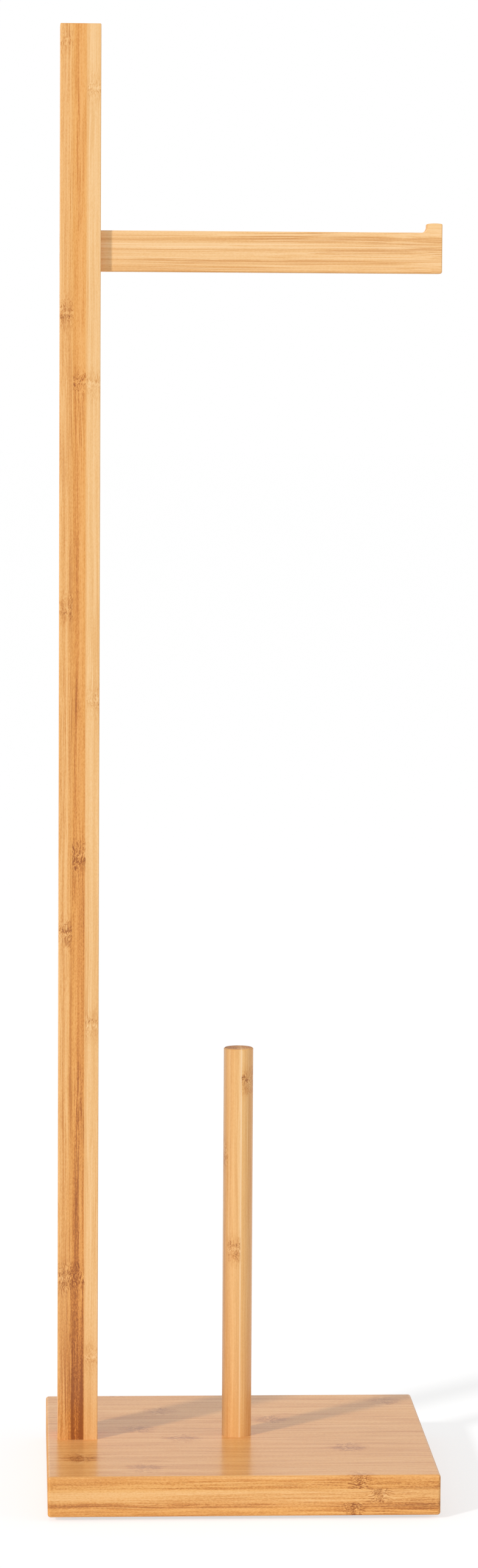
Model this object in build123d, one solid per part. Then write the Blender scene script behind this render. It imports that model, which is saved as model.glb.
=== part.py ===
from build123d import *
import os

# A free-standing toilet roll stand in laminated bamboo, in millimetres.
# A square post stands near the left edge of a thick base board and carries a flat arm
# whose raised lip keeps the roll in use from sliding off. A round spindle in the middle
# of the board keeps the spare rolls. Wood screws from below hold the post and the
# spindle, wood screws through the post hold the arm, and four pads carry the board.
#
# The origin is on the floor under the middle of the board. +X runs along the arm,
# +Y runs to the back and +Z is up.

# Base board
base_width = 200.0
base_depth = 180.0
base_thickness = 21.0
base_edge_radius = 1.5

# Pads glued under the corners of the board
pad_diameter = 16.0
pad_thickness = 2.0
pad_inset = 17.0
pad_edge_chamfer = 0.4

# Square post
post_width = 21.0
post_depth = 21.0
post_height = 734.5
post_inset = 5.5
post_edge_radius = 0.6
post_top_chamfer = 0.4

# Arm, measured from the post's face, with the lip at its free end
arm_length = 176.0
arm_height = 21.0
arm_thickness = 10.0
arm_edge_chamfer = 0.4
arm_end_corner_radius = 1.2
arm_below_post_top = 104.5
lip_height = 4.5
lip_thickness = 7.8
lip_crown = 0.3
lip_inner_radius = 3.0

# Spindle for the spare rolls
spindle_diameter = 15.5
spindle_height = 206.0
spindle_top_chamfer = 0.5

# Countersunk wood screws with a cross recess: a smooth shank, then the thread's core
screw_head_diameter = 8.0
screw_head_rim = 0.5
screw_shank_diameter = 4.0
screw_core_diameter = 2.8
screw_shank_setback = 1.0
screw_tip_length = 5.0
screw_tip_diameter = 0.6
screw_bite = 25.0
screw_head_sink = 1.0
recess_span = 4.4
recess_slot = 1.0
recess_depth = 1.8

# Holes for the screws
shank_hole_clearance = 0.25
screw_clearance = 0.05
pilot_extra_depth = 2.0
foot_screw_spacing = 10.0
arm_screw_spacing = 10.0

# How far each screw's cross recess happens to be turned, in degrees
foot_screw_turns = (20.0, 62.0)
arm_screw_turns = (35.0, 8.0)
spindle_screw_turn = 48.0

# Places worked out from the sizes above
base_bottom = pad_thickness
base_top = base_bottom + base_thickness
post_x = -base_width / 2 + post_inset + post_width / 2
post_face_x = post_x + post_width / 2
post_top = base_top + post_height
arm_top = post_top - arm_below_post_top
arm_bottom = arm_top - arm_height
arm_middle_z = (arm_top + arm_bottom) / 2

bottom_align = (Align.CENTER, Align.CENTER, Align.MIN)


def pair(spacing):
    """Places of two holes, spaced evenly about zero."""
    return (-spacing / 2, spacing / 2)


def screw_grip(clamped_thickness):
    """Distance from a screw's head to the face of the piece that it bites into."""
    return clamped_thickness - screw_head_sink


def wood_screw(clamped_thickness, turn):
    """A screw with its head's flat face at the origin and its tip towards +Z."""
    head_radius = screw_head_diameter / 2
    shank_radius = screw_shank_diameter / 2
    core_radius = screw_core_diameter / 2
    shank_end = screw_grip(clamped_thickness) - screw_shank_setback
    length = screw_grip(clamped_thickness) + screw_bite
    outline = [
        (0, 0),
        (head_radius, 0),
        (head_radius, screw_head_rim),
        (shank_radius, screw_head_rim + head_radius - shank_radius),
        (shank_radius, shank_end),
        (core_radius, shank_end),
        (core_radius, length - screw_tip_length),
        (screw_tip_diameter / 2, length),
        (0, length),
    ]
    half_section = make_face(Polyline(*outline, close=True))
    body = revolve(Plane.XZ * half_section, Axis.Z)
    cross = Rectangle(recess_span, recess_slot) + Rectangle(recess_slot, recess_span)
    return body - extrude(Rot(0, 0, turn) * cross, recess_depth)


def shank_hole(clamped_thickness):
    """The cutter for a screw's shank and head, from the outer face at z = 0 upwards."""
    mouth_radius = screw_head_diameter / 2 + screw_clearance
    hole_radius = screw_shank_diameter / 2 + shank_hole_clearance
    cone_start = screw_head_sink + screw_head_rim
    outline = [
        (0, 0),
        (mouth_radius, 0),
        (mouth_radius, cone_start),
        (hole_radius, cone_start + mouth_radius - hole_radius),
        (hole_radius, clamped_thickness),
        (0, clamped_thickness),
    ]
    return revolve(Plane.XZ * make_face(Polyline(*outline, close=True)), Axis.Z)


def pilot_hole():
    """The cutter for the thread's core, from the seating face at z = 0 upwards."""
    radius = screw_core_diameter / 2 + screw_clearance
    return Cylinder(radius, screw_bite + pilot_extra_depth, align=bottom_align)


def foot_screw_places():
    return [Pos(post_x + x, 0, base_bottom) for x in pair(foot_screw_spacing)]


def arm_screw_places():
    """On the post's outer face, with the screws pointing along +X."""
    outer_face_x = post_x - post_width / 2
    return [Pos(outer_face_x, 0, arm_middle_z + z) * Rot(0, 90, 0) for z in pair(arm_screw_spacing)]


def pad_places():
    x = base_width / 2 - pad_inset
    y = base_depth / 2 - pad_inset
    return {
        "front_left": Pos(-x, -y, 0),
        "front_right": Pos(x, -y, 0),
        "back_left": Pos(-x, y, 0),
        "back_right": Pos(x, y, 0),
    }


def base_board():
    """The board, with all edges eased and the screw holes countersunk from below."""
    board = Pos(0, 0, base_bottom) * Box(base_width, base_depth, base_thickness, align=bottom_align)
    board = fillet(board.edges(), base_edge_radius)
    for place in foot_screw_places() + [Pos(0, 0, base_bottom)]:
        board -= place * shank_hole(base_thickness)
    return board


def upright_post():
    """The post, eased along its edges and round its top, and square where it stands."""
    post = Pos(post_x, 0, base_top) * Box(post_width, post_depth, post_height, align=bottom_align)
    post = fillet(post.edges().filter_by(Axis.Z), post_edge_radius)
    post = chamfer(post.faces().sort_by(Axis.Z)[-1].edges(), post_top_chamfer)
    for place in foot_screw_places():
        post -= Pos(0, 0, base_thickness) * place * pilot_hole()
    for place in arm_screw_places():
        post -= place * shank_hole(post_width)
    return post


def arm_outline():
    """The arm's side view: a straight bar and a lip with a round inner corner and a crowned top."""
    end_x = post_face_x + arm_length
    lip_x = end_x - lip_thickness
    lip_top = arm_top + lip_height
    crown = (lip_x + lip_thickness / 2, lip_top + lip_crown)
    bar = Polyline((lip_x, lip_top), (lip_x, arm_top), (post_face_x, arm_top), (post_face_x, arm_bottom),
                   (end_x, arm_bottom), (end_x, lip_top))
    top = ThreePointArc((end_x, lip_top), crown, (lip_x, lip_top))
    outline = make_face(bar + top)
    inner_corner = outline.vertices().sort_by_distance((lip_x, arm_top, 0))[0]
    outline = fillet(inner_corner, lip_inner_radius)
    lower_corner = outline.vertices().sort_by_distance((end_x, arm_bottom, 0))[0]
    return fillet(lower_corner, arm_end_corner_radius)


def roll_arm():
    """The arm, eased all round apart from the end that is screwed to the post."""
    arm = extrude(Plane.XZ * arm_outline(), arm_thickness / 2, both=True)
    seat_edges = arm.edges().group_by(Axis.X)[0]
    arm = chamfer(arm.edges() - seat_edges, arm_edge_chamfer)
    for place in arm_screw_places():
        arm -= Pos(post_width, 0, 0) * place * pilot_hole()
    return arm


def spare_roll_spindle():
    """The round spindle, eased at its top and square where it stands."""
    spindle = Pos(0, 0, base_top) * Cylinder(spindle_diameter / 2, spindle_height, align=bottom_align)
    top_rim = spindle.edges().filter_by(GeomType.CIRCLE).sort_by(Axis.Z)[-1]
    spindle = chamfer(top_rim, spindle_top_chamfer)
    return spindle - Pos(0, 0, base_top) * pilot_hole()


def foot_pad():
    """A round pad with the edge of its lower face broken."""
    pad = Cylinder(pad_diameter / 2, pad_thickness, align=bottom_align)
    return chamfer(pad.faces().sort_by(Axis.Z)[0].edges(), pad_edge_chamfer)


def seated_screws(places, clamped_thickness, turns):
    """One screw at each place, with its head sunk below the outer face."""
    sink = Pos(0, 0, screw_head_sink)
    return [place * sink * wood_screw(clamped_thickness, turn) for place, turn in zip(places, turns)]


def stand():
    """Every node's name with the solids that it holds."""
    nodes = {
        "base_board": [base_board()],
        "upright_post": [upright_post()],
        "roll_arm": [roll_arm()],
        "spare_roll_spindle": [spare_roll_spindle()],
        "post_foot_screws": seated_screws(foot_screw_places(), base_thickness, foot_screw_turns),
        "arm_screws": seated_screws(arm_screw_places(), post_width, arm_screw_turns),
        "spindle_screw": seated_screws([Pos(0, 0, base_bottom)], base_thickness, [spindle_screw_turn]),
    }
    for corner, place in pad_places().items():
        nodes[f"foot_pad_{corner}"] = [place * foot_pad()]
    return nodes


os.makedirs("parts", exist_ok=True)
for name, shapes in stand().items():
    solids = [solid for shape in shapes for solid in shape.solids()]
    export_step(Compound(children=solids), f"parts/{name}.step")
    print(name, len(solids), "solids")
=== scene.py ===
import bpy
import bmesh
import math
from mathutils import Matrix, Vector


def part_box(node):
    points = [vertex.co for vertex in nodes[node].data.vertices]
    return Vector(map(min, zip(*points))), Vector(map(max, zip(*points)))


# A free-standing toilet roll stand in laminated bamboo with a satin lacquer.
# The stand's pieces come from the frame and get their finish here.
# All colours are linear, and the bamboo settings are in millimetres.

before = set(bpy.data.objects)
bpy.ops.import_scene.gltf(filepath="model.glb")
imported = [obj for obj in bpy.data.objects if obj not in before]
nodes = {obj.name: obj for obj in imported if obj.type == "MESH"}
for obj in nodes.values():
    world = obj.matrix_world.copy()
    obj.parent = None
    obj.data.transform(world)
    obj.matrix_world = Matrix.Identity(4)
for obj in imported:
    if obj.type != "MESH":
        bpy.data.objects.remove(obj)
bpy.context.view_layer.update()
print("frame loaded:", len(nodes), "nodes")

axisIndex = {"X": 0, "Y": 1, "Z": 2}
mmPerMetre = 1000.0
half = 0.5  # noise and random values run from 0 to 1, about half


# small helpers for node trees

def addNode(tree, kind, inputs=None, **settings):
    node = tree.nodes.new("ShaderNode" + kind)
    for name, value in settings.items():
        setattr(node, name, value)
    for name, value in (inputs or {}).items():
        if isinstance(value, bpy.types.NodeSocket):
            tree.links.new(value, node.inputs[name])
        else:
            node.inputs[name].default_value = value
    return node


def calc(tree, operation, *values, clamp=False):
    node = addNode(tree, "Math", dict(enumerate(values)), operation=operation, use_clamp=clamp)
    return node.outputs[0]


def vectorCalc(tree, operation, *values):
    return addNode(tree, "VectorMath", dict(enumerate(values)), operation=operation).outputs[0]


def splitVector(tree, vector):
    return addNode(tree, "SeparateXYZ", {0: vector}).outputs


def splitColour(tree, colour):
    return addNode(tree, "SeparateColor", {0: colour}).outputs


def joinVector(tree, x, y, z):
    return addNode(tree, "CombineXYZ", {"X": x, "Y": y, "Z": z}).outputs[0]


def rangeMap(tree, value, low, high, toLow=0.0, toHigh=1.0, smooth=True):
    # value from low to high becomes toLow to toHigh, and stays there outside
    kind = "SMOOTHSTEP" if smooth else "LINEAR"
    inputs = {"Value": value, "From Min": low, "From Max": high, "To Min": toLow, "To Max": toHigh}
    return addNode(tree, "MapRange", inputs, interpolation_type=kind, clamp=True).outputs[0]


def stretchedNoise(tree, point, size, detail=2.0, roughness=0.5):
    # size is how long, wide and deep the noise's patches are, in the point's own units
    scaled = vectorCalc(tree, "DIVIDE", point, size)
    inputs = {"Vector": scaled, "Scale": 1.0, "Detail": detail, "Roughness": roughness}
    return addNode(tree, "TexNoise", inputs)


def noiseAboutZero(tree, point, size, detail=2.0, roughness=0.5):
    return calc(tree, "SUBTRACT", stretchedNoise(tree, point, size, detail, roughness).outputs[0], half)


def mixColour(tree, factor, first, second, blend="MIX"):
    node = addNode(tree, "Mix", data_type="RGBA", blend_type=blend)
    for name, value in (("Factor_Float", factor), ("A_Color", first), ("B_Color", second)):
        socket = next(s for s in node.inputs if s.identifier == name)
        if isinstance(value, bpy.types.NodeSocket):
            tree.links.new(value, socket)
        else:
            socket.default_value = value
    return next(s for s in node.outputs if s.identifier == "Result_Color")


def colourRamp(tree, factor, stops):
    node = addNode(tree, "ValToRGB", {"Fac": factor})
    elements = node.color_ramp.elements
    while len(elements) < len(stops):
        elements.new(1.0)
    for element, (place, colour) in zip(elements, stops):
        element.position = place
        element.color = (*colour, 1.0)
    return node.outputs["Color"]


def newGroup(name, inputs, values, colours=()):
    group = bpy.data.node_groups.new(name, "ShaderNodeTree")
    for label, kind, value in inputs:
        socket = group.interface.new_socket(name=label, in_out="INPUT", socket_type="NodeSocket" + kind)
        socket.default_value = value
    for label in values:
        group.interface.new_socket(name=label, in_out="OUTPUT", socket_type="NodeSocketFloat")
    for label in colours:
        group.interface.new_socket(name=label, in_out="OUTPUT", socket_type="NodeSocketColor")
    given = group.nodes.new("NodeGroupInput").outputs
    result = group.nodes.new("NodeGroupOutput").inputs
    return group, given, result


def useGroup(tree, group, inputs):
    node = tree.nodes.new("ShaderNodeGroup")
    node.node_tree = group
    for name, value in inputs.items():
        if isinstance(value, bpy.types.NodeSocket):
            tree.links.new(value, node.inputs[name])
        else:
            node.inputs[name].default_value = value
    return node.outputs


# Node groups that every bamboo piece uses. Point is in mm: along the fibres, across the
# strip's width and through its thickness. Depth runs from pale, 0, to dark brown, 1.

# the margin, in strips, keeps the outer faces in their own strip; the shift is in mm
stripPattern = {"margin": (0.01, 0.01, 0.01), "shiftRange": 900.0}


def makeGluedStrips():
    # which of the glued strips a point is in, and where in that strip
    group, given, result = newGroup(
        "gluedStrips",
        [("Point", "Vector", (0, 0, 0)), ("Start", "Vector", (0, 0, 0)),
         ("Strip Size", "Vector", (1000, 21, 7)), ("Strips", "Vector", (1, 1, 3)),
         ("Glue Line", "Float", 0.16)],
        ["Width Share", "Depth Share", "Width Place", "Depth Place", "Tone", "Shift", "Seam"])
    links = group.links
    margin = stripPattern["margin"]
    halves = (half, half, half)
    fromStart = vectorCalc(group, "SUBTRACT", given["Point"], given["Start"])
    place = vectorCalc(group, "DIVIDE", fromStart, given["Strip Size"])
    place = vectorCalc(group, "MAXIMUM", place, margin)
    place = vectorCalc(group, "MINIMUM", place, vectorCalc(group, "SUBTRACT", given["Strips"], margin))
    strip = vectorCalc(group, "ADD", vectorCalc(group, "FLOOR", place), halves)
    share = splitVector(group, vectorCalc(group, "DIVIDE", strip, given["Strips"]))
    stripMiddle = vectorCalc(group, "MULTIPLY", strip, given["Strip Size"])
    fromMiddle = vectorCalc(group, "SUBTRACT", fromStart, stripMiddle)
    middle = splitVector(group, fromMiddle)
    random = addNode(group, "TexWhiteNoise", {"Vector": strip}, noise_dimensions="3D").outputs
    halfSize = vectorCalc(group, "MULTIPLY", given["Strip Size"], halves)
    toEdge = vectorCalc(group, "SUBTRACT", halfSize, vectorCalc(group, "ABSOLUTE", fromMiddle))
    toEdge = splitVector(group, toEdge)
    nearest = calc(group, "ABSOLUTE", calc(group, "MINIMUM", toEdge["Y"], toEdge["Z"]))
    blue = splitColour(group, random["Color"])["Blue"]
    shift = calc(group, "MULTIPLY", blue, stripPattern["shiftRange"])
    links.new(share["Y"], result["Width Share"])
    links.new(share["Z"], result["Depth Share"])
    links.new(middle["Y"], result["Width Place"])
    links.new(middle["Z"], result["Depth Place"])
    links.new(random["Value"], result["Tone"])
    links.new(shift, result["Shift"])
    links.new(rangeMap(group, nearest, 0.0, given["Glue Line"], 1.0, 0.0), result["Seam"])
    return group


# a scar is (full up to, gone from, strength), in mm on each side of its line
# breaks are where the dash noise starts to cut a line and where it leaves it whole
knucklePattern = {
    "unevenSize": (4.0, 2.6, 2.6), "dashSize": (1.5, 0.5, 0.5), "wobble": 5.0, "bowPerMm": 0.1,
    "firstScar": (0.3, 1.5, 1.0), "firstBreaks": (0.47, 0.6),
    "secondScar": (0.3, 1.8, 0.6), "secondBreaks": (0.52, 0.66), "secondScarPlace": 3.2,
    "paleStart": (0.8, 1.6), "paleEnd": (2.2, 5.0), "paleBreaks": (0.58, 0.42),
    "edgeBlur": 8.0, "edgeStart": 0.1, "ovalBlur": 0.8, "ovalStart": 0.3, "ovalLength": 1.3,
    "nearStart": 0.5, "nearShare": 0.85, "shiftByPlace": 37.0,
}


def makeCaneKnuckle():
    # a joint of the cane; Point is measured from its middle, and Flat is 1 on a strip's wide side
    group, given, result = newGroup(
        "caneKnuckle",
        [("Point", "Vector", (0, 0, 0)), ("Shift", "Float", 0.0), ("Strength", "Float", 1.0),
         ("Reach", "Float", 12.0), ("Bow", "Float", 2.0), ("Half Width", "Float", 10.0),
         ("Flat", "Float", 0.0)],
        ["Near", "Brown", "Scar", "Pale"])
    links = group.links
    pattern = knucklePattern
    parts = splitVector(group, given["Point"])
    shift = joinVector(group, given["Shift"], given["Shift"], given["Shift"])
    shifted = vectorCalc(group, "ADD", given["Point"], shift)
    unevenNoise = stretchedNoise(group, shifted, pattern["unevenSize"], 2.0)
    uneven = splitColour(group, unevenNoise.outputs["Color"])
    dashNoise = stretchedNoise(group, shifted, pattern["dashSize"], 1.0)
    dashes = splitColour(group, dashNoise.outputs["Color"])
    acrossWidth = calc(group, "ABSOLUTE", parts["Y"])
    distance = calc(group, "ABSOLUTE", parts["X"])

    # the joint bows to one side or the other, and wobbles
    flip = calc(group, "GREATER_THAN", calc(group, "FRACT", given["Shift"]), half)
    side = calc(group, "MULTIPLY_ADD", flip, 2.0, -1.0)
    bow = calc(group, "POWER", calc(group, "MULTIPLY", acrossWidth, pattern["bowPerMm"]), 2.0)
    along = calc(group, "MULTIPLY_ADD", parts["X"], side, calc(group, "MULTIPLY", bow, given["Bow"]))
    wobble = calc(group, "SUBTRACT", uneven["Red"], half)
    along = calc(group, "MULTIPLY_ADD", wobble, pattern["wobble"], along)

    def weigh(mask):
        return calc(group, "MULTIPLY", mask, given["Strength"])

    def scar(place, shape, breaks):
        full, gone, strength = shape
        return calc(group, "MULTIPLY", rangeMap(group, place, full, gone, strength, 0.0), breaks)

    firstScar = scar(calc(group, "ABSOLUTE", along), pattern["firstScar"],
                     rangeMap(group, dashes["Green"], *pattern["firstBreaks"]))
    apart = calc(group, "ABSOLUTE", calc(group, "SUBTRACT", along, pattern["secondScarPlace"]))
    secondScar = scar(apart, pattern["secondScar"],
                      rangeMap(group, dashes["Blue"], *pattern["secondBreaks"]))
    paleStart = rangeMap(group, along, *pattern["paleStart"])
    paleEnd = rangeMap(group, along, *pattern["paleEnd"], 1.0, 0.0)
    pale = calc(group, "MULTIPLY", calc(group, "MULTIPLY", paleStart, paleEnd),
                rangeMap(group, dashes["Red"], *pattern["paleBreaks"]))

    # brown all across a strip's edge, and an oval on its wide side
    blur = calc(group, "SUBTRACT", uneven["Green"], half)
    edge = calc(group, "MULTIPLY_ADD", blur, pattern["edgeBlur"], distance)
    edgeStart = calc(group, "MULTIPLY", given["Reach"], pattern["edgeStart"])
    edge = rangeMap(group, edge, edgeStart, given["Reach"], 1.0, 0.0)
    ovalHalf = calc(group, "MULTIPLY", given["Half Width"], pattern["ovalLength"])
    lengthways = calc(group, "POWER", calc(group, "DIVIDE", distance, ovalHalf), 2.0)
    crossways = calc(group, "POWER", calc(group, "DIVIDE", acrossWidth, given["Half Width"]), 2.0)
    oval = calc(group, "SQRT", calc(group, "ADD", lengthways, crossways))
    oval = calc(group, "MULTIPLY_ADD", blur, pattern["ovalBlur"], oval)
    oval = rangeMap(group, oval, pattern["ovalStart"], 1.0, 1.0, 0.0)
    brown = addNode(group, "Mix", {"Factor": given["Flat"], "A": edge, "B": oval}).outputs[0]

    reach = calc(group, "MULTIPLY", given["Reach"], pattern["nearShare"])
    near = rangeMap(group, distance, pattern["nearStart"], reach, 1.0, 0.0)
    links.new(weigh(near), result["Near"])
    links.new(weigh(brown), result["Brown"])
    links.new(weigh(calc(group, "MAXIMUM", firstScar, secondScar)), result["Scar"])
    links.new(weigh(pale), result["Pale"])
    return group


# sizes are (length, width, depth) in mm
# band, streak and fine are (share of the fibres' length, share of their width, detail, roughness)
fibrePattern = {
    "wanderSize": (110, 14, 14), "wander": 2.4, "bendShare": (0.3, 1.0, 1.0),
    "curlSize": (7, 5, 5), "smallCurlSize": (2.6, 1.7, 1.7), "smallCurlShare": 0.16,
    "patchSize": (70, 9, 9), "patch": (0.35, 0.65), "liveliness": (0.55, 1.35),
    "band": (1.8, 3.6, 0.0, 0.5), "streak": (1.0, 1.0, 2.0, 0.55), "fine": (0.4, 0.3, 1.0, 0.5),
    "mottleSize": (1.3, 0.5, 0.5), "blotchSize": (2.2, 1.1, 1.1), "spotNoise": (2.0, 0.6),
    "bandShade": 1.2, "streakShade": 1.6, "blotchShade": 0.5, "softLimit": 0.6, "streakHeight": 0.6,
}


def makeFibres():
    # long fibres that wander a little, and curl and break up near a knuckle
    group, given, result = newGroup(
        "bambooFibres",
        [("Point", "Vector", (0, 0, 0)), ("Shift", "Float", 0.0), ("Near", "Float", 0.0),
         ("Width", "Float", 1.0), ("Length", "Float", 90.0), ("Fine", "Float", 0.8),
         ("Mottle", "Float", 0.5), ("Curl", "Float", 3.0)],
        ["Fibre", "Height", "Patch"])
    links = group.links
    pattern = fibrePattern
    shift = joinVector(group, given["Shift"], given["Shift"], given["Shift"])
    point = vectorCalc(group, "ADD", given["Point"], shift)

    def bend(at, size, amount):
        noise = stretchedNoise(group, at, size, 1.0).outputs["Color"]
        away = vectorCalc(group, "SUBTRACT", noise, (half, half, half))
        away = vectorCalc(group, "MULTIPLY", away, pattern["bendShare"])
        away = addNode(group, "VectorMath", {0: away, "Scale": amount}, operation="SCALE").outputs[0]
        return vectorCalc(group, "ADD", at, away)

    close = calc(group, "POWER", given["Near"], 2.0)
    smallCurl = calc(group, "MULTIPLY", given["Curl"], pattern["smallCurlShare"])
    point = bend(point, pattern["wanderSize"], pattern["wander"])
    point = bend(point, pattern["curlSize"], calc(group, "MULTIPLY", given["Near"], given["Curl"]))
    point = bend(point, pattern["smallCurlSize"], calc(group, "MULTIPLY", close, smallCurl))

    def fibreLayer(lengthShare, widthShare, detail, roughness):
        length = calc(group, "MULTIPLY", given["Length"], lengthShare)
        width = calc(group, "MULTIPLY", given["Width"], widthShare)
        return noiseAboutZero(group, point, joinVector(group, length, width, width), detail, roughness)

    patch = stretchedNoise(group, point, pattern["patchSize"], 1.0).outputs[0]
    liveliness = rangeMap(group, patch, *pattern["patch"], *pattern["liveliness"])
    band = fibreLayer(*pattern["band"])
    streak = fibreLayer(*pattern["streak"])
    fine = fibreLayer(*pattern["fine"])
    mottle = noiseAboutZero(group, point, pattern["mottleSize"], *pattern["spotNoise"])
    blotch = noiseAboutZero(group, point, pattern["blotchSize"], *pattern["spotNoise"])
    blotch = calc(group, "MULTIPLY", blotch, close)
    fineness = calc(group, "MULTIPLY", given["Fine"], calc(group, "ADD", given["Near"], 1.0))
    total = calc(group, "MULTIPLY", streak, pattern["streakShade"])
    total = calc(group, "MULTIPLY_ADD", fine, fineness, total)
    total = calc(group, "MULTIPLY", total, liveliness)
    total = calc(group, "MULTIPLY_ADD", band, pattern["bandShade"], total)
    total = calc(group, "MULTIPLY_ADD", mottle, given["Mottle"], total)
    total = calc(group, "MULTIPLY_ADD", blotch, pattern["blotchShade"], total)
    limit = calc(group, "MULTIPLY_ADD", calc(group, "ABSOLUTE", total), pattern["softLimit"], 1.0)
    eased = calc(group, "DIVIDE", total, limit)
    links.new(calc(group, "ADD", eased, half, clamp=True), result["Fibre"])
    height = calc(group, "MULTIPLY_ADD", streak, pattern["streakHeight"], half)
    links.new(calc(group, "ADD", fine, height), result["Height"])
    links.new(patch, result["Patch"])
    return group


def makeBambooTone():
    # bamboo darkens from its pale colour through gold and orange to brown
    group, given, result = newGroup(
        "bambooTone",
        [("Pale Colour", "Color", (0.9, 0.55, 0.25, 1)), ("Depth", "Float", 0.4)],
        [], ["Colour"])
    tint = colourRamp(group, given["Depth"], [
        (0.0, (1.0, 1.0, 1.0)),
        (0.3, (0.93, 0.84, 0.69)),
        (0.5, (0.85, 0.71, 0.52)),
        (0.7, (0.75, 0.56, 0.37)),
        (0.83, (0.64, 0.44, 0.27)),
        (1.0, (0.36, 0.2, 0.12))])
    group.links.new(mixColour(group, 1.0, given["Pale Colour"], tint, "MULTIPLY"), result["Colour"])
    return group


# dotSize is from a strip's inner face to its outer face, and the strip's depth is in mm
endGrainPattern = {
    "dotsPerMm": 1.3, "randomness": 0.85, "depth": (-3.5, 3.5), "dotSize": (0.16, 0.34),
    "dotEdge": (-0.06, 0.1),
}


def makeEndGrain():
    # the cut ends of the fibre bundles, which crowd towards the outside of the cane
    group, given, result = newGroup(
        "caneEndGrain",
        [("Point", "Vector", (0, 0, 0)), ("Depth Place", "Float", 0.0), ("Facing", "Float", 0.0)],
        ["Dots"])
    pattern = endGrainPattern
    perMm = pattern["dotsPerMm"]
    flat = vectorCalc(group, "MULTIPLY", given["Point"], (0.0, perMm, perMm))
    inputs = {"Vector": flat, "Scale": 1.0, "Randomness": pattern["randomness"]}
    cells = addNode(group, "TexVoronoi", inputs).outputs["Distance"]
    crowded = rangeMap(group, given["Depth Place"], *pattern["depth"], *pattern["dotSize"], smooth=False)
    dots = rangeMap(group, calc(group, "SUBTRACT", cells, crowded), *pattern["dotEdge"], 1.0, 0.0)
    group.links.new(calc(group, "MULTIPLY", dots, given["Facing"]), result["Dots"])
    return group


# sizes in mm; dust is where its noise starts to show and where it is full
satinPattern = {
    "wipeSize": (60, 22, 22), "wipeDetail": 3.0, "wipeRoughness": 0.14, "wipeCoat": 0.18,
    "dustSize": (1.4, 0.9, 0.9), "dust": (0.68, 0.78), "dustCoat": 0.2,
    "raisedRoughness": 0.12, "dullRoughness": 0.2, "dullCoat": -0.45,
}


def makeSatin():
    # the lacquer lies unevenly: duller where fibres stand up and on cut ends, with wipe marks and dust
    group, given, result = newGroup(
        "satinLacquer",
        [("Point", "Vector", (0, 0, 0)), ("Fibre", "Float", 0.5), ("Dull", "Float", 0.0),
         ("Roughness", "Float", 0.5), ("Coat", "Float", 0.6)],
        ["Roughness", "Coat Weight"])
    pattern = satinPattern
    wipe = noiseAboutZero(group, given["Point"], pattern["wipeSize"], pattern["wipeDetail"])
    speck = stretchedNoise(group, given["Point"], pattern["dustSize"], 1.0).outputs[0]
    dust = rangeMap(group, speck, *pattern["dust"])
    raised = calc(group, "SUBTRACT", half, given["Fibre"])
    rough = calc(group, "MULTIPLY_ADD", wipe, pattern["wipeRoughness"], given["Roughness"])
    rough = calc(group, "MULTIPLY_ADD", raised, pattern["raisedRoughness"], rough)
    rough = calc(group, "MULTIPLY_ADD", given["Dull"], pattern["dullRoughness"], rough, clamp=True)
    coat = calc(group, "MULTIPLY_ADD", wipe, pattern["wipeCoat"], given["Coat"])
    coat = calc(group, "SUBTRACT", coat, calc(group, "MULTIPLY", dust, pattern["dustCoat"]))
    coat = calc(group, "MULTIPLY_ADD", given["Dull"], pattern["dullCoat"], coat, clamp=True)
    group.links.new(rough, result["Roughness"])
    group.links.new(coat, result["Coat Weight"])
    return group


gluedStrips = makeGluedStrips()
caneKnuckle = makeCaneKnuckle()
bambooFibres = makeFibres()
bambooTone = makeBambooTone()
caneEndGrain = makeEndGrain()
satinLacquer = makeSatin()
print("shared node groups made")


def newMaterial(name):
    material = bpy.data.materials.new(name)
    material.use_nodes = True
    tree = material.node_tree
    tree.nodes.clear()
    return material, tree


def inMillimetres(tree, point):
    return vectorCalc(tree, "MULTIPLY", point, (mmPerMetre, mmPerMetre, mmPerMetre))


def knuckleChart(tree, place, rows):
    # the joint nearest to place, its middle and its strength, from rows of (start, middle, strength)
    ramp = addNode(tree, "ValToRGB", {"Fac": place})
    ramp.color_ramp.interpolation = "CONSTANT"
    elements = ramp.color_ramp.elements
    while len(elements) < len(rows):
        elements.new(1.0)
    for element, (start, middle, strength) in zip(elements, rows):
        element.position = start
        element.color = (middle, strength, 0.0, 1.0)
    return ramp.outputs["Color"]


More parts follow.
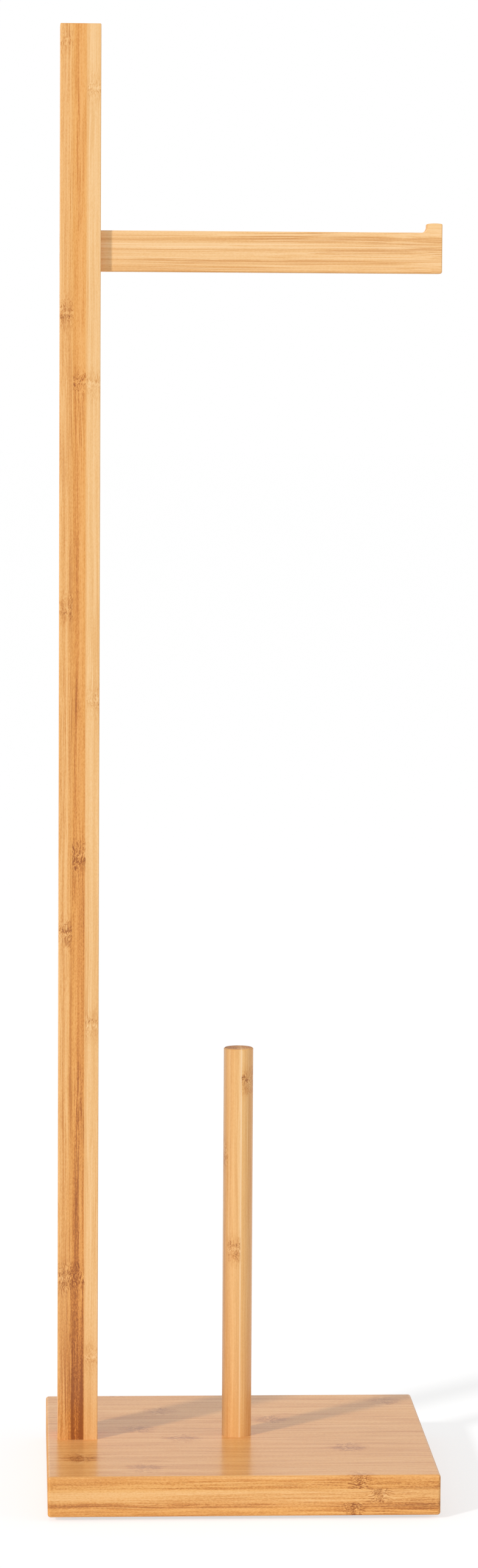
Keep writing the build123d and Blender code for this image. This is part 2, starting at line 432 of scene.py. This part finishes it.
def placeKnuckles(tree, parts, strips, length, wideFace, bamboo):
    # each layer of strips has a list of joints: one for each strip, or several along its only strip
    layers = bamboo["knuckles"]
    chosen = None
    for number, joints in enumerate(layers):
        middles = [middle / length for middle, strength in joints]
        if bamboo["strips"][0] > 1:
            starts = [i / len(joints) for i in range(len(joints))]
            place = strips["Width Share"]
        else:
            starts = [0.0] + [(a[0] + b[0]) / 2 / length for a, b in zip(joints, joints[1:])]
            place = calc(tree, "DIVIDE", parts["X"], length)
        strengths = [strength for middle, strength in joints]
        chart = knuckleChart(tree, place, list(zip(starts, middles, strengths)))
        if chosen is None:
            chosen = chart
        else:
            inLayer = calc(tree, "GREATER_THAN", strips["Depth Share"], number / len(layers))
            chosen = mixColour(tree, inLayer, chosen, chart)
    chosen = splitColour(tree, chosen)
    fromMiddle = calc(tree, "SUBTRACT", parts["X"], calc(tree, "MULTIPLY", chosen["Red"], length))
    local = joinVector(tree, fromMiddle, strips["Width Place"], strips["Depth Place"])
    shift = calc(tree, "MULTIPLY_ADD", chosen["Red"], knucklePattern["shiftByPlace"], strips["Shift"])
    return useGroup(tree, caneKnuckle, {
        "Point": local, "Shift": shift, "Strength": chosen["Green"],
        "Reach": bamboo["knuckleReach"], "Bow": bamboo["knuckleBow"],
        "Half Width": bamboo["stripSize"][0] / 2, "Flat": wideFace})


# what the bamboo pieces share: how far depth goes before it eases off, how cut ends and wide
# faces differ, how stains and knuckles fade among the fibres, dips in the surface, and the gloss
bambooLook = {
    "easeFrom": 0.75, "easeRange": 0.45, "faceMask": (0.5, 0.8),
    "endContrast": 0.35, "endShade": 0.1, "dotShade": 0.22,
    "knuckleFibre": (0.1, 0.9), "knuckleFade": (1.4, 0.6), "wideScarShare": 0.3,
    "stainBlur": 0.4, "stainFade": (1.3, 0.7), "seamPatch": (0.42, 0.62), "seamFade": (0.15, 1.0),
    "scarDip": -0.8, "seamDip": -0.5, "dotDip": -0.5,
    "coatRoughness": 0.2, "specularLevel": 0.1, "bumpDistance": 0.00005,
}


def addStains(tree, parts, fibre, depth, stains):
    blur = bambooLook["stainBlur"]
    strength = rangeMap(tree, fibre, 0.0, 1.0, *bambooLook["stainFade"], smooth=False)
    for along, reach, low, high, shade in stains:
        distance = calc(tree, "ABSOLUTE", calc(tree, "SUBTRACT", parts["X"], along))
        near = rangeMap(tree, distance, 0.0, reach, 1.0, 0.0)
        inside = calc(tree, "MULTIPLY", rangeMap(tree, parts["Z"], low - blur, low + blur),
                      rangeMap(tree, parts["Z"], high - blur, high + blur, 1.0, 0.0))
        stain = calc(tree, "MULTIPLY", calc(tree, "MULTIPLY", near, inside), strength)
        depth = calc(tree, "MULTIPLY_ADD", stain, shade, depth)
    return depth


def addKnuckles(tree, knuckle, fibre, wideFace, depth, bamboo):
    look = bambooLook
    fade = rangeMap(tree, fibre, *look["knuckleFibre"], *look["knuckleFade"])
    brown = calc(tree, "MULTIPLY", knuckle["Brown"], fade)
    brown = calc(tree, "MULTIPLY", brown, rangeMap(tree, wideFace, 0.0, 1.0, 1.0, bamboo["wideKnuckle"]))
    depth = calc(tree, "MULTIPLY_ADD", brown, bamboo["brownShade"], depth)
    wideScar = bamboo["scarShade"] * look["wideScarShare"]
    scarShade = rangeMap(tree, wideFace, 0.0, 1.0, bamboo["scarShade"], wideScar)
    depth = calc(tree, "ADD", depth, calc(tree, "MULTIPLY", knuckle["Scar"], scarShade))
    return calc(tree, "MULTIPLY_ADD", knuckle["Pale"], -bamboo["paleShade"], depth)


def bambooMaterial(name, node, bamboo):
    material, tree = newMaterial(name)
    look = bambooLook
    low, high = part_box(node)
    order = [axisIndex[axis] for axis in bamboo["axes"]]
    start = [low[i] * mmPerMetre for i in order]
    size = [(high[i] - low[i]) * mmPerMetre for i in order]
    spot = addNode(tree, "TexCoord").outputs
    world = splitVector(tree, inMillimetres(tree, spot["Object"]))
    point = joinVector(tree, *[world[axis] for axis in bamboo["axes"]])
    point = vectorCalc(tree, "SUBTRACT", point, start)
    parts = splitVector(tree, point)
    facing = splitVector(tree, vectorCalc(tree, "ABSOLUTE", spot["Normal"]))
    wideFace = rangeMap(tree, facing[bamboo["axes"][2]], *look["faceMask"])
    cutEnd = rangeMap(tree, facing[bamboo["axes"][0]], *look["faceMask"])

    strips = useGroup(tree, gluedStrips, {
        "Point": point, "Start": (0, *bamboo["firstStrip"]), "Strip Size": (5000, *bamboo["stripSize"]),
        "Strips": (1, *bamboo["strips"])})
    fibreInputs = {
        "Point": point, "Shift": strips["Shift"], "Width": bamboo["fibreWidth"],
        "Length": bamboo["fibreLength"], "Fine": bamboo["fine"], "Mottle": bamboo["mottle"],
        "Curl": bamboo["curl"]}
    knuckle = None
    if bamboo["knuckles"]:
        knuckle = placeKnuckles(tree, parts, strips, size[0], wideFace, bamboo)
        fibreInputs["Near"] = knuckle["Near"]
    fibres = useGroup(tree, bambooFibres, fibreInputs)

    # the tones through the thickness, and how much the fibres stand out from them; on the spindle, whose
    # thickness runs left to right, they also hold painted shade at both edges and a painted highlight on
    # its pale seam
    thickness = calc(tree, "DIVIDE", parts["Z"], size[2])
    tonesAndPaintedShade = bamboo["tonesAndPaintedShade"]
    paleColour = colourRamp(tree, thickness, [(place, pale) for place, pale, depth, contrast in tonesAndPaintedShade])
    levels = [(place, (depth, contrast, 0)) for place, pale, depth, contrast in tonesAndPaintedShade]
    level = splitColour(tree, colourRamp(tree, thickness, levels))
    wideContrast = rangeMap(tree, wideFace, 0.0, 1.0, 1.0, bamboo["wideFaceContrast"])
    contrast = calc(tree, "MULTIPLY", level["Green"], wideContrast)
    endContrast = rangeMap(tree, cutEnd, 0.0, 1.0, 1.0, look["endContrast"])
    contrast = calc(tree, "MULTIPLY", contrast, endContrast)
    dark = calc(tree, "SUBTRACT", half, fibres["Fibre"])
    depth = calc(tree, "MULTIPLY_ADD", dark, contrast, level["Red"])
    variety = calc(tree, "SUBTRACT", strips["Tone"], half)
    depth = calc(tree, "MULTIPLY_ADD", variety, bamboo["stripVariety"], depth)
    seamFade = rangeMap(tree, fibres["Patch"], *look["seamPatch"], *look["seamFade"])
    seam = calc(tree, "MULTIPLY", strips["Seam"], seamFade)
    depth = calc(tree, "MULTIPLY_ADD", seam, bamboo["seamShade"], depth)
    if bamboo["stains"]:
        depth = addStains(tree, parts, fibres["Fibre"], depth, bamboo["stains"])
    height = fibres["Height"]
    if knuckle:
        depth = addKnuckles(tree, knuckle, fibres["Fibre"], wideFace, depth, bamboo)
        height = calc(tree, "MULTIPLY_ADD", knuckle["Scar"], look["scarDip"], height)

    ends = useGroup(tree, caneEndGrain, {
        "Point": point, "Depth Place": strips["Depth Place"], "Facing": cutEnd})
    depth = calc(tree, "MULTIPLY_ADD", cutEnd, look["endShade"], depth)
    depth = calc(tree, "MULTIPLY_ADD", ends["Dots"], look["dotShade"], depth)
    over = calc(tree, "MAXIMUM", calc(tree, "SUBTRACT", depth, look["easeFrom"]), 0.0)
    eased = calc(tree, "DIVIDE", calc(tree, "MULTIPLY", over, look["easeRange"]),
                 calc(tree, "ADD", over, look["easeRange"]))
    depth = calc(tree, "ADD", calc(tree, "MINIMUM", depth, look["easeFrom"]), eased)
    colour = useGroup(tree, bambooTone, {"Pale Colour": paleColour, "Depth": depth})["Colour"]

    satin = useGroup(tree, satinLacquer, {
        "Point": point, "Fibre": fibres["Fibre"], "Dull": cutEnd,
        "Roughness": bamboo["roughness"], "Coat": bamboo["coat"]})
    height = calc(tree, "MULTIPLY_ADD", strips["Seam"], look["seamDip"], height)
    height = calc(tree, "MULTIPLY_ADD", ends["Dots"], look["dotDip"], height)
    bump = addNode(tree, "Bump", {
        "Height": height, "Strength": bamboo["bump"], "Distance": look["bumpDistance"]})
    shader = addNode(tree, "BsdfPrincipled", {
        "Base Color": colour, "Roughness": satin["Roughness"], "Coat Weight": satin["Coat Weight"],
        "Coat Roughness": look["coatRoughness"], "Specular IOR Level": look["specularLevel"],
        "Normal": bump.outputs["Normal"]})
    addNode(tree, "OutputMaterial", {"Surface": shader.outputs[0]})
    return material


# base board: three layers of strips that run from side to side, flat side up
# tones are (place through the thickness, pale colour, depth, contrast)
# knuckles are (along, strength) for each strip from front to back, a list for each layer from below
# stains are (along, reach, from and to through the thickness, shade)
board = {
    "axes": "XYZ", "firstStrip": (8.1 - 20.8, 0.0), "stripSize": (20.8, 7.0), "strips": (10, 3),
    "fibreWidth": 0.8, "fibreLength": 75.0, "fine": 2.4, "mottle": 1.6, "curl": 6.0,
    "wideFaceContrast": 0.75, "stripVariety": 0.12,
    "tonesAndPaintedShade": [
        (0.0, (0.91, 0.51, 0.18), 0.46, 0.75),
        (0.19, (0.91, 0.51, 0.18), 0.46, 0.8),
        (0.26, (0.89, 0.51, 0.2), 0.68, 0.9),
        (0.32, (0.89, 0.51, 0.2), 0.62, 0.9),
        (0.38, (0.9, 0.53, 0.22), 0.44, 0.8),
        (0.6, (0.92, 0.56, 0.25), 0.33, 0.65),
        (0.66, (0.91, 0.53, 0.2), 0.42, 0.85),
        (0.7, (0.89, 0.5, 0.18), 0.62, 1.0),
        (0.82, (0.89, 0.5, 0.18), 0.56, 1.0),
        (0.9, (0.92, 0.515, 0.19), 0.42, 0.8),
        (1.0, (0.93, 0.53, 0.215), 0.4, 0.75),
    ],
    "seamShade": 0.1, "stains": [(200, 80, -2, 20, 0.2), (0, 30, 7, 14, 0.05)],
    "knuckleReach": 8.5, "knuckleBow": 2.0, "brownShade": 0.26, "scarShade": 0.55, "paleShade": 0.3,
    "wideKnuckle": 1.4,
    "roughness": 0.5, "coat": 0.55, "bump": 0.4,
    "knuckles": [
        [(155.5, 0.9), (61, 0.8), (132, 0.9), (24, 0.8), (98, 0.9),
         (171, 0.7), (45, 0.9), (118, 0.8), (83, 0.9), (150, 0.8)],
        [(169, 1.0), (61, 0.8), (132, 0.9), (24, 0.8), (98, 0.9),
         (171, 0.7), (45, 0.9), (118, 0.8), (83, 0.9), (92, 0.9)],
        [(159, 1.0), (49, 0.75), (17, 1.4), (157, 0.9), (71, 0.75),
         (49, 0.7), (120, 0.85), (61, 0.85), (184, 0.6), (38, 0.7)],
    ],
}

# post: three strips on edge, brown, darkest and palest from left to right
# each strip has its own list of knuckles
post = {
    "axes": "ZYX", "firstStrip": (0.0, 0.0), "stripSize": (21.0, 7.0), "strips": (1, 3),
    "fibreWidth": 0.7, "fibreLength": 95.0, "fine": 2.2, "mottle": 1.3, "curl": 5.0,
    "wideFaceContrast": 0.8, "stripVariety": 0.0,
    "tonesAndPaintedShade": [
        (0.0, (0.9, 0.52, 0.21), 0.3, 0.8),
        (0.2, (0.91, 0.53, 0.22), 0.27, 0.8),
        (0.3, (0.9, 0.5, 0.18), 0.36, 0.85),
        (0.36, (0.89, 0.47, 0.15), 0.4, 0.85),
        (0.44, (0.89, 0.46, 0.15), 0.43, 1.0),
        (0.56, (0.89, 0.46, 0.15), 0.44, 1.0),
        (0.63, (0.89, 0.47, 0.15), 0.4, 0.85),
        (0.66, (0.92, 0.56, 0.25), 0.26, 0.5),
        (0.72, (0.94, 0.61, 0.3), 0.2, 0.5),
        (1.0, (0.93, 0.6, 0.29), 0.22, 0.5),
    ],
    "seamShade": 0.08,
    "stains": [
        (0, 100, 7, 13.5, 0.6), (0, 520, 7, 13.5, 0.22), (0, 170, -2, 7, 0.19), (0, 120, 13.5, 23, 0.11),
        (290, 60, 7, 13.5, 0.16), (20, 60, 10.4, 10.8, -0.5), (734, 280, 7, 13.5, -0.13),
        (734, 240, 13.5, 23, -0.1)],
    "knuckleReach": 13.0, "knuckleBow": 2.0, "brownShade": 0.2, "scarShade": 0.5, "paleShade": 0.4,
    "wideKnuckle": 1.2,
    "roughness": 0.5, "coat": 0.6, "bump": 0.4,
    "knuckles": [
        [(86, 0.9), (267, 0.9), (436, 0.8), (588, 0.95), (727, 0.45)],
        [(86, 0.9), (308, 1.0), (552, 0.9)],
        [(44, 0.75), (219, 0.75), (389, 0.6), (551, 0.8), (702, 0.6)],
    ],
}

# arm: three strips on edge with long straight fibres, cut between two joints of the cane
arm = {
    "axes": "XYZ", "firstStrip": (0.0, 0.0), "stripSize": (10.0, 7.0), "strips": (1, 3),
    "fibreWidth": 0.6, "fibreLength": 190.0, "fine": 2.4, "mottle": 0.6, "curl": 0.0,
    "wideFaceContrast": 0.7, "stripVariety": 0.04,
    "tonesAndPaintedShade": [
        (0.0, (0.95, 0.61, 0.3), 0.3, 0.85),
        (0.5, (0.96, 0.64, 0.34), 0.26, 0.95),
        (0.85, (0.96, 0.63, 0.32), 0.26, 0.95),
        (1.0, (0.95, 0.61, 0.28), 0.3, 0.8),
    ],
    "seamShade": 0.06, "stains": [],
    "roughness": 0.5, "coat": 0.6, "bump": 0.4,
    "knuckles": [],
}

# spindle: turned from glued strips, with a pale seam a little right of its middle that also serves as a
# painted highlight; its tones run from left to right and darken towards both edges as painted shade where
# the round spindle turns away from the light
spindle = {
    "axes": "ZYX", "firstStrip": (0.0, 2.05 - 7.0), "stripSize": (21.0, 7.0), "strips": (1, 3),
    "fibreWidth": 0.75, "fibreLength": 100.0, "fine": 1.9, "mottle": 0.9, "curl": 7.0,
    "wideFaceContrast": 1.0, "stripVariety": 0.0,
    # painted shade: the darker tones at 0.0, 0.1 and 1.0 darken the left and right edges; painted
    # highlight: the palest tones at 0.56 and 0.59
    "tonesAndPaintedShade": [
        (0.0, (0.62, 0.42, 0.24), 0.52, 0.5),
        (0.1, (0.76, 0.48, 0.24), 0.45, 0.5),
        (0.3, (0.89, 0.56, 0.26), 0.4, 0.5),
        (0.53, (0.93, 0.6, 0.29), 0.26, 0.45),
        (0.56, (0.96, 0.67, 0.38), 0.08, 0.3),
        (0.59, (0.96, 0.67, 0.38), 0.08, 0.3),
        (0.61, (0.94, 0.6, 0.27), 0.24, 0.5),
        (0.8, (0.92, 0.56, 0.24), 0.27, 0.6),
        (1.0, (0.86, 0.49, 0.21), 0.4, 0.5),
    ],
    "seamShade": 0.0, "stains": [],
    "knuckleReach": 11.0, "knuckleBow": 2.0, "brownShade": 0.36, "scarShade": 0.45, "paleShade": 0.3,
    "wideKnuckle": 1.0,
    "roughness": 0.5, "coat": 0.6, "bump": 0.4,
    "knuckles": [[(150, 0.7)], [(100, 1.0)], [(189, 1.0)]],
}


# zinc-plated screws, with cloudy patches and fine turning marks
steel = {
    "colour": (0.62, 0.62, 0.6), "darkShare": 0.72, "patchSize": (1.6, 1.6, 1.6),
    "scratchSize": (0.15, 1.2, 1.2), "roughness": 0.2, "roughnessRange": 0.25, "bump": 0.3,
    "bumpDistance": 0.00003,
}

# matte rubber pads with fine pores
rubber = {
    "colour": (0.05, 0.042, 0.036), "darkShare": 0.7, "paleShare": 1.3, "patchSize": (3, 3, 3),
    "poresPerMm": 2.2, "roughness": 0.65, "roughnessRange": 0.2, "bump": 0.5, "bumpDistance": 0.0001,
}


def metalMaterial(name, metal):
    material, tree = newMaterial(name)
    point = inMillimetres(tree, addNode(tree, "TexCoord").outputs["Object"])
    patch = stretchedNoise(tree, point, metal["patchSize"], 3.0).outputs[0]
    scratch = stretchedNoise(tree, point, metal["scratchSize"], 2.0).outputs[0]
    darkColour = tuple(c * metal["darkShare"] for c in metal["colour"])
    shade = colourRamp(tree, patch, [(0.3, darkColour), (0.6, metal["colour"])])
    rough = calc(tree, "MULTIPLY_ADD", patch, metal["roughnessRange"], metal["roughness"])
    bump = addNode(tree, "Bump", {
        "Height": scratch, "Strength": metal["bump"], "Distance": metal["bumpDistance"]})
    shader = addNode(tree, "BsdfPrincipled", {
        "Base Color": shade, "Metallic": 1.0, "Roughness": rough, "Normal": bump.outputs["Normal"]})
    addNode(tree, "OutputMaterial", {"Surface": shader.outputs[0]})
    return material


def padMaterial(name, pad):
    material, tree = newMaterial(name)
    point = inMillimetres(tree, addNode(tree, "TexCoord").outputs["Object"])
    pores = addNode(tree, "TexVoronoi", {"Vector": point, "Scale": pad["poresPerMm"]}).outputs["Distance"]
    patch = stretchedNoise(tree, point, pad["patchSize"], 3.0).outputs[0]
    darkColour = tuple(c * pad["darkShare"] for c in pad["colour"])
    paleColour = tuple(c * pad["paleShare"] for c in pad["colour"])
    shade = colourRamp(tree, patch, [(0.3, darkColour), (0.7, paleColour)])
    rough = calc(tree, "MULTIPLY_ADD", patch, pad["roughnessRange"], pad["roughness"])
    bump = addNode(tree, "Bump", {
        "Height": pores, "Strength": pad["bump"], "Distance": pad["bumpDistance"]})
    shader = addNode(tree, "BsdfPrincipled", {
        "Base Color": shade, "Roughness": rough, "Normal": bump.outputs["Normal"]})
    addNode(tree, "OutputMaterial", {"Surface": shader.outputs[0]})
    return material


def finishPiece(name, material):
    piece = nodes[name]
    piece.data.materials.clear()
    piece.data.materials.append(material)


finishPiece("base_board", bambooMaterial("boardBamboo", "base_board", board))
finishPiece("upright_post", bambooMaterial("postBamboo", "upright_post", post))
finishPiece("roll_arm", bambooMaterial("armBamboo", "roll_arm", arm))
finishPiece("spare_roll_spindle", bambooMaterial("spindleBamboo", "spare_roll_spindle", spindle))
screwSteel = metalMaterial("zincPlatedSteel", steel)
for name in ("post_foot_screws", "arm_screws", "spindle_screw"):
    finishPiece(name, screwSteel)
padRubber = padMaterial("padRubber", rubber)
for corner in ("front_left", "front_right", "back_left", "back_right"):
    finishPiece("foot_pad_" + corner, padRubber)
print("materials placed")


# studio: white surroundings, a white floor that keeps the shadow, a sun from the front left
# and a large soft light at the right; angles in degrees, distances in metres
studio = {
    "worldStrength": 0.5, "aimHeight": 0.35,
    "floorColour": (0.95, 0.95, 0.95), "floorSeenShare": 0.5, "floorGlow": 0.64, "floorSize": 60.0,
    "keyStrength": 1.82, "keySoftness": 5.0, "keyAzimuth": 48.0, "keyElevation": 26.0,
    "keyDistance": 4.0,
    "sidePower": 13.0, "sideSize": 2.0, "sideAzimuth": -72.0, "sideElevation": 14.0, "sideDistance": 3.0,
}
photoCamera = {
    "place": (-0.11261, -2.29602, 0.58023), "turn": (84.7125, -0.3299, -2.7631), "lens": 101.81,
    "sensor": 36.0, "clip": (0.05, 100.0),
}


def seenOrMirrored(tree):
    # 1 for what the camera sees directly, in a reflection or through glass
    path = addNode(tree, "LightPath").outputs
    seen = calc(tree, "MAXIMUM", path["Is Camera Ray"], path["Is Glossy Ray"])
    return calc(tree, "MAXIMUM", seen, path["Is Transmission Ray"])


def buildWorld():
    world = bpy.data.worlds.new("whiteStudio")
    world.use_nodes = True
    tree = world.node_tree
    tree.nodes.clear()
    unseen = studio["worldStrength"]
    level = calc(tree, "MULTIPLY_ADD", seenOrMirrored(tree), 1.0 - unseen, unseen)
    background = addNode(tree, "Background", {"Color": (1, 1, 1, 1), "Strength": level})
    addNode(tree, "OutputWorld", {"Surface": background.outputs[0]})
    bpy.context.scene.world = world


def buildFloor():
    mesh = bpy.data.meshes.new("floor")
    shape = bmesh.new()
    bmesh.ops.create_grid(shape, x_segments=1, y_segments=1, size=studio["floorSize"] / 2)
    shape.to_mesh(mesh)
    shape.free()
    floor = bpy.data.objects.new("floor", mesh)
    bpy.context.scene.collection.objects.link(floor)
    material, tree = newMaterial("whiteFloor")
    seen = seenOrMirrored(tree)
    whole = studio["floorColour"]
    part = [c * studio["floorSeenShare"] for c in whole]
    matt = addNode(tree, "BsdfDiffuse", {"Color": mixColour(tree, seen, (*whole, 1.0), (*part, 1.0))})
    level = calc(tree, "MULTIPLY", seen, studio["floorGlow"])
    glow = addNode(tree, "Emission", {"Color": (1, 1, 1, 1), "Strength": level})
    both = addNode(tree, "AddShader", {0: matt.outputs[0], 1: glow.outputs[0]})
    addNode(tree, "OutputMaterial", {"Surface": both.outputs[0]})
    mesh.materials.append(material)


def directionTo(azimuth, elevation):
    # azimuth 0 is straight in front of the stand, and positive is to the left
    azimuth, elevation = math.radians(azimuth), math.radians(elevation)
    flat = math.cos(elevation)
    return Vector((-math.sin(azimuth) * flat, -math.cos(azimuth) * flat, math.sin(elevation)))


def addLight(name, kind, which):
    toLight = directionTo(studio[which + "Azimuth"], studio[which + "Elevation"])
    lamp = bpy.data.lights.new(name, kind)
    light = bpy.data.objects.new(name, lamp)
    light.location = toLight * studio[which + "Distance"] + Vector((0, 0, studio["aimHeight"]))
    light.rotation_euler = toLight.to_track_quat("Z", "Y").to_euler()
    bpy.context.scene.collection.objects.link(light)
    return lamp


def buildLights():
    key = addLight("keyLight", "SUN", "key")
    key.energy = studio["keyStrength"]
    key.angle = math.radians(studio["keySoftness"])
    side = addLight("sideSoftbox", "AREA", "side")
    side.shape = "SQUARE"
    side.size = studio["sideSize"]
    side.energy = studio["sidePower"]


def buildCamera():
    data = bpy.data.cameras.new("photoCamera")
    data.lens = photoCamera["lens"]
    data.sensor_width = photoCamera["sensor"]
    data.clip_start, data.clip_end = photoCamera["clip"]
    camera = bpy.data.objects.new("photoCamera", data)
    camera.location = photoCamera["place"]
    camera.rotation_euler = [math.radians(angle) for angle in photoCamera["turn"]]
    bpy.context.scene.collection.objects.link(camera)
    bpy.context.scene.camera = camera


buildWorld()
buildFloor()
buildLights()
buildCamera()
bpy.context.scene.view_settings.view_transform = "Standard"
print("studio ready")
